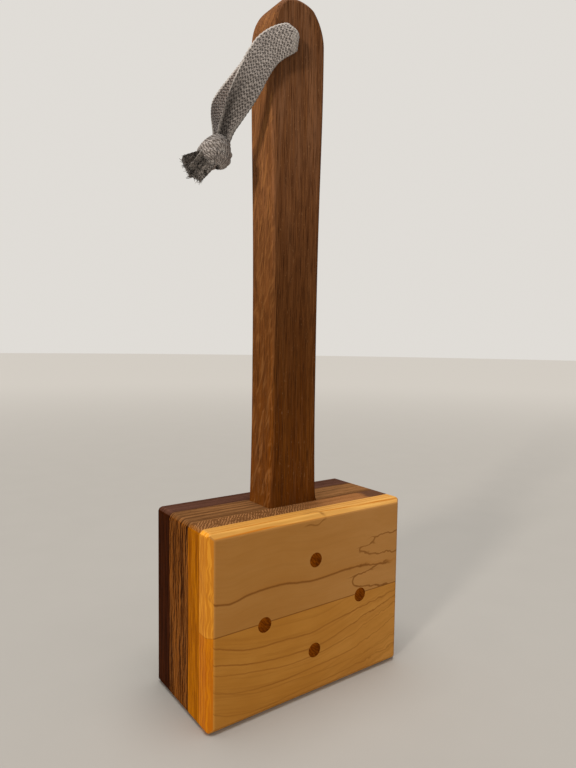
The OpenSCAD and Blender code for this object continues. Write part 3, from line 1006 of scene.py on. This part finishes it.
def handle_oak():
    r = Recipe("handle_oak")
    oiled(r, 0.02)
    side = turned(r, 0)
    tall = r.ease(r.z, 120, 330)
    sway = r.times(r.noise((26, 18, 120), seed=21.1), 7)
    bent = r.joined(r.plus(r.x, sway), r.plus(r.y, sway), r.z)
    patch = r.noise((7, 7, 80), seed=22.6, detail=3)
    band = r.noise((1.7, 1.7, 90), seed=22.1, where=bent)
    pores = r.noise((0.34, 0.34, 15), seed=23.3, detail=3, roughness=0.55)
    fibre = r.noise((0.45, 0.45, 30), seed=24.9)
    low_tone = r.blend(r.ease(patch, 0.3, 0.7), (0.145, 0.038, 0.0024), (0.205, 0.063, 0.0065))
    high_tone = r.blend(r.ease(patch, 0.3, 0.7), (0.16, 0.068, 0.0295), (0.225, 0.103, 0.049))
    colour = r.blend(tall, low_tone, high_tone)
    # The sides and arrises are made golden: partly the sides' own grain, partly painted light, as the
    # sides are lit more than the front.
    golden = r.blend(tall, (0.24, 0.066, 0.003), (0.29, 0.118, 0.042))
    colour = r.blend(r.times(side, 0.55), colour, golden)
    colour = r.over(colour, (0.105, 0.033, 0.008), band, 0.4, 0.64, 0.42)
    colour = r.over(colour, (0.33, 0.128, 0.04), fibre, 0.48, 0.68, 0.4)
    colour = r.over(colour, (0.05, 0.015, 0.004), pores, 0.52, 0.61, 0.66)
    lean = r.joined(r.x, r.linear(r.z, 0.35, r.y), r.z)
    flecks = r.noise((2.6, 2.6, 12), seed=25.5, distortion=0.8, where=lean)
    flecks = r.times(r.ease(flecks, 0.5, 0.66), r.times(side, 0.42))
    colour = r.blend(flecks, colour, (0.4, 0.17, 0.05))
    glints = r.noise((0.7, 0.7, 2.2), seed=26.7, detail=1)
    colour = r.over(colour, (0.45, 0.23, 0.1), glints, 0.7, 0.76, 0.3)
    level = r.curve(r.z, HANDLE_LEVELS, 0, 373, 0, 1.3)
    colour = r.blend(1, colour, level, way="MULTIPLY")
    roughness = r.ease(pores, 0.35, 0.7, 0.38, 0.56)
    height = r.minus(r.times(fibre, 0.25), r.ease(pores, 0.52, 0.7))
    return r.finish(colour, roughness, height, depth=0.12)


def dowel_wood():
    r = Recipe("dowel_wood")
    oiled(r, 0.005)
    lean = r.joined(r.plus(r.x, r.z), r.y, r.minus(r.z, r.x))
    ring = r.noise((0.6, 9, 5), seed=31.1, where=lean)
    pores = r.noise((0.3, 6, 0.3), seed=32.2)
    colour = r.blend(r.ease(ring, 0.38, 0.62), (0.135, 0.028, 0.0008), (0.25, 0.061, 0.0018))
    colour = r.over(colour, (0.07, 0.016, 0.001), pores, 0.55, 0.7, 0.7)
    return r.finish(colour, 0.5, r.ease(pores, 0.7, 0.5), depth=0.05)


RIB_PITCH = 1.3


def knit(r, across, along, side):
    """The height of the knitting, 0 to 1, and where the tape is drawn tight into ribs."""
    warp = r.noise((2.1, 2.1, 2.1), seed=40.2, where=r.joined(across, along, side))
    warp = r.times(r.minus(warp, 0.5), 1.5)
    u = r.times(r.plus(across, warp), TURN / STITCH_WIDE)
    slope = r.times(r.math("PINGPONG", r.plus(across, 16), STITCH_WIDE / 2), 0.7)
    v = r.times(r.plus(r.plus(along, warp), slope), TURN / STITCH_LONG)
    lattice = r.times(r.math("COSINE", u), r.math("COSINE", v))
    tight = r.ease(r.math("ABSOLUTE", side), 1.2, 1.8)
    rib = r.times(r.linear(across, 0.45, r.plus(along, warp)), TURN / RIB_PITCH)
    rib = r.linear(r.math("COSINE", rib), 0.34, 0.06)
    lattice = r.plus(lattice, r.times(r.minus(rib, lattice), tight))
    return r.ease(lattice, 0.75, -0.35), tight


def fluffy_shaded_ends(r, colour, tight):
    """The fluffy cloth of the two cut ends, darkened with painted shade, with pale loops and painted shade
    in the gaps between them.
    """
    # Painted shade: the cut ends below the knot are darkened, and so are the gaps between their loops.
    end_shade = r.times(r.ease(r.x, -45.5, -49.5), r.ease(r.z, 288, 284))
    end_shade = r.times(end_shade, r.minus(1, tight))
    colour = r.blend(r.times(end_shade, 0.6), colour, (0.085, 0.072, 0.06))
    loops = r.noise((1.5, 1.5, 1.5), seed=43.7, distortion=1.2)
    colour = r.blend(r.times(end_shade, r.ease(loops, 0.56, 0.64)), colour, (0.33, 0.285, 0.25))
    return r.blend(r.times(end_shade, r.ease(loops, 0.46, 0.38)), colour, (0.025, 0.02, 0.015))


def tape_cloth():
    """A heather grey knitted tape: columns of slanting stitches, pale and dark yarn mixed."""
    r = Recipe("tape")
    mark = r.add("Attribute")
    mark.attribute_name = "tape_place"
    across, along, side = r.parts(mark.outputs["Vector"])
    height, tight = knit(r, across, along, side)
    flat = r.joined(across, along, r.times(side, 7))
    heather = r.noise((1, 1.3, 1), seed=41.3, detail=3, roughness=0.7, where=flat)
    thread = r.noise((0.22, 0.6, 0.4), seed=42.9, roughness=0.7, where=flat)
    hem = r.ease(r.math("ABSOLUTE", across), 6.9, 7.4)
    scallop = r.linear(r.math("SINE", r.times(r.z, 1.3)), 0.9, r.x)
    inner = r.ease(scallop, -8.6, -7.8)
    plain_and_edge_highlight = r.larger(hem, inner)
    colour = r.blend(r.ease(heather, 0.38, 0.62), (0.32, 0.275, 0.25), (0.62, 0.555, 0.515))
    colour = r.over(colour, (0.8, 0.75, 0.7), thread, 0.56, 0.7, 0.8)
    colour = r.over(colour, (0.11, 0.093, 0.085), thread, 0.42, 0.32, 0.6)
    # The hem and the cloth near the hole are plain knit and painted paler; along the rolled edges this
    # paleness is a painted highlight.
    colour = r.blend(r.times(plain_and_edge_highlight, 0.5), colour, (0.64, 0.59, 0.54))
    # Painted shade in the gaps between the stitches, with less of it on the plain knit.
    holes = r.times(r.ease(height, 0.75, 0.15), r.ease(plain_and_edge_highlight, 0, 1, 1, 0.35))
    colour = r.blend(r.times(holes, 0.82), colour, (0.06, 0.05, 0.046))
    # Painted shade: the strap darkens from the hole down towards the knot, where it turns away from the
    # light; the knot keeps most of its tone.
    strap_painted_shade = r.ease(r.z, 298, 340, 0.55, 1.02)
    strap_painted_shade = r.larger(strap_painted_shade, r.ease(r.z, 296, 290, 0, 0.86))
    colour = r.blend(1, colour, strap_painted_shade, way="MULTIPLY")
    # Painted shade in the hollow beside the strap's curled left rim, between the hole and the knot.
    hollow_shade_span = r.times(r.ease(r.z, 330, 306), r.ease(r.z, 292, 296))
    hollow_painted_shade = r.times(line(r, r.plus(across, 3.6), 3.4), r.ease(side, 0, 0.9))
    hollow_painted_shade = r.times(r.times(hollow_painted_shade, hollow_shade_span), 0.62)
    colour = r.blend(hollow_painted_shade, colour, (0.045, 0.036, 0.03))
    colour = fluffy_shaded_ends(r, colour, tight)
    r.shader.inputs["Sheen Weight"].default_value = 0.2
    r.shader.inputs["Sheen Roughness"].default_value = 0.5
    r.shader.inputs["Specular IOR Level"].default_value = 0.1
    return r.finish(colour, 0.9, height, depth=0.4)


# ---- stage ----

FLOOR_RADIUS = 8.0             # in metres, as the lamps' places are
KEY_PLACE = (-2.09, -0.78, 0.78)
KEY_AIM = (0, 0, 0.22)
KEY_POWER = 1.83
KEY_WIDTH = 8                  # in degrees: a wider lamp gives a softer shadow
ABOVE_PLACE = (0, 0, 3)
ABOVE_POWER = 2.8
ABOVE_WIDTH = 50
SKY_TONE = (0.745, 0.718, 0.678, 1)
SKY_AS_LIGHT = 0.18


def make_floor():
    mesh = bpy.data.meshes.new("floor")
    form = bmesh.new()
    bmesh.ops.create_circle(form, cap_ends=True, segments=96, radius=FLOOR_RADIUS)
    form.to_mesh(mesh)
    form.free()
    floor = show("floor", mesh)
    r = Recipe("floor")
    oiled(r, 0.1)
    tone = r.noise((40, 40, 40), detail=3)
    near = r.blend(tone, (0.435, 0.417, 0.39), (0.455, 0.436, 0.408))
    reach = r.math("SQRT", r.linear(r.x, r.x, r.times(r.y, r.y)))
    colour = r.blend(r.ease(reach, 300.0, 2500.0), near, (0.575, 0.555, 0.525))
    mesh.materials.append(r.finish(colour, 0.8))


def make_lamp(name, place, aim, power, width, colour):
    lamp = bpy.data.lights.new(name, "SUN")
    lamp.energy = power
    lamp.color = colour
    lamp.angle = radians(width)
    holder = show(name, lamp)
    holder.location = place
    holder.rotation_euler = (Vector(aim) - Vector(place)).to_track_quat("-Z", "Y").to_euler()


def make_lights():
    make_lamp("key", KEY_PLACE, KEY_AIM, KEY_POWER, KEY_WIDTH, (1.0, 0.93, 0.84))
    make_lamp("above", ABOVE_PLACE, (0, 0, 0), ABOVE_POWER, ABOVE_WIDTH, (1.0, 0.97, 0.93))


def make_sky():
    """Pale to the camera, and dimmer as a light."""
    world = bpy.data.worlds.new("sky")
    world.use_nodes = True
    tree = world.node_tree
    background = next(n for n in tree.nodes if n.type == "BACKGROUND")
    background.inputs["Color"].default_value = SKY_TONE
    rays = tree.nodes.new("ShaderNodeLightPath")
    level = tree.nodes.new("ShaderNodeMapRange")
    level.inputs["To Min"].default_value = SKY_AS_LIGHT
    level.inputs["To Max"].default_value = 1.0
    tree.links.new(rays.outputs["Is Camera Ray"], level.inputs["Value"])
    tree.links.new(level.outputs[0], background.inputs["Strength"])
    bpy.context.scene.world = world
    bpy.context.scene.view_settings.view_transform = "Standard"


# ---- the whole ----

make_camera()
tape = tape_cloth()
make_knot(tape)
make_tail("lanyard_tail_low", "lanyard_tail_long", LOW_TAIL, tape, seed=3)
make_tail("lanyard_tail_side", "lanyard_tail_short", SIDE_TAIL, tape, seed=8)
make_lanyard(tape)

upper_maple = maple("maple_upper")
lower_maple = maple("maple_lower")
core = brown_core()
head_piece("maple_cheek_upper", upper_maple)
head_piece("maple_cheek_lower", lower_maple)
head_piece("oak_layer", ray_oak())
head_piece("core_block_left", core)
head_piece("core_block_right", core)
head_piece("dark_cheek", dark_wood())
dowels = dowel_wood()
for place in ("upper", "lower", "left", "right"):
    dowel_piece("dowel_" + place, dowels)
handle_piece(handle_oak())

make_floor()
make_lights()
make_sky()
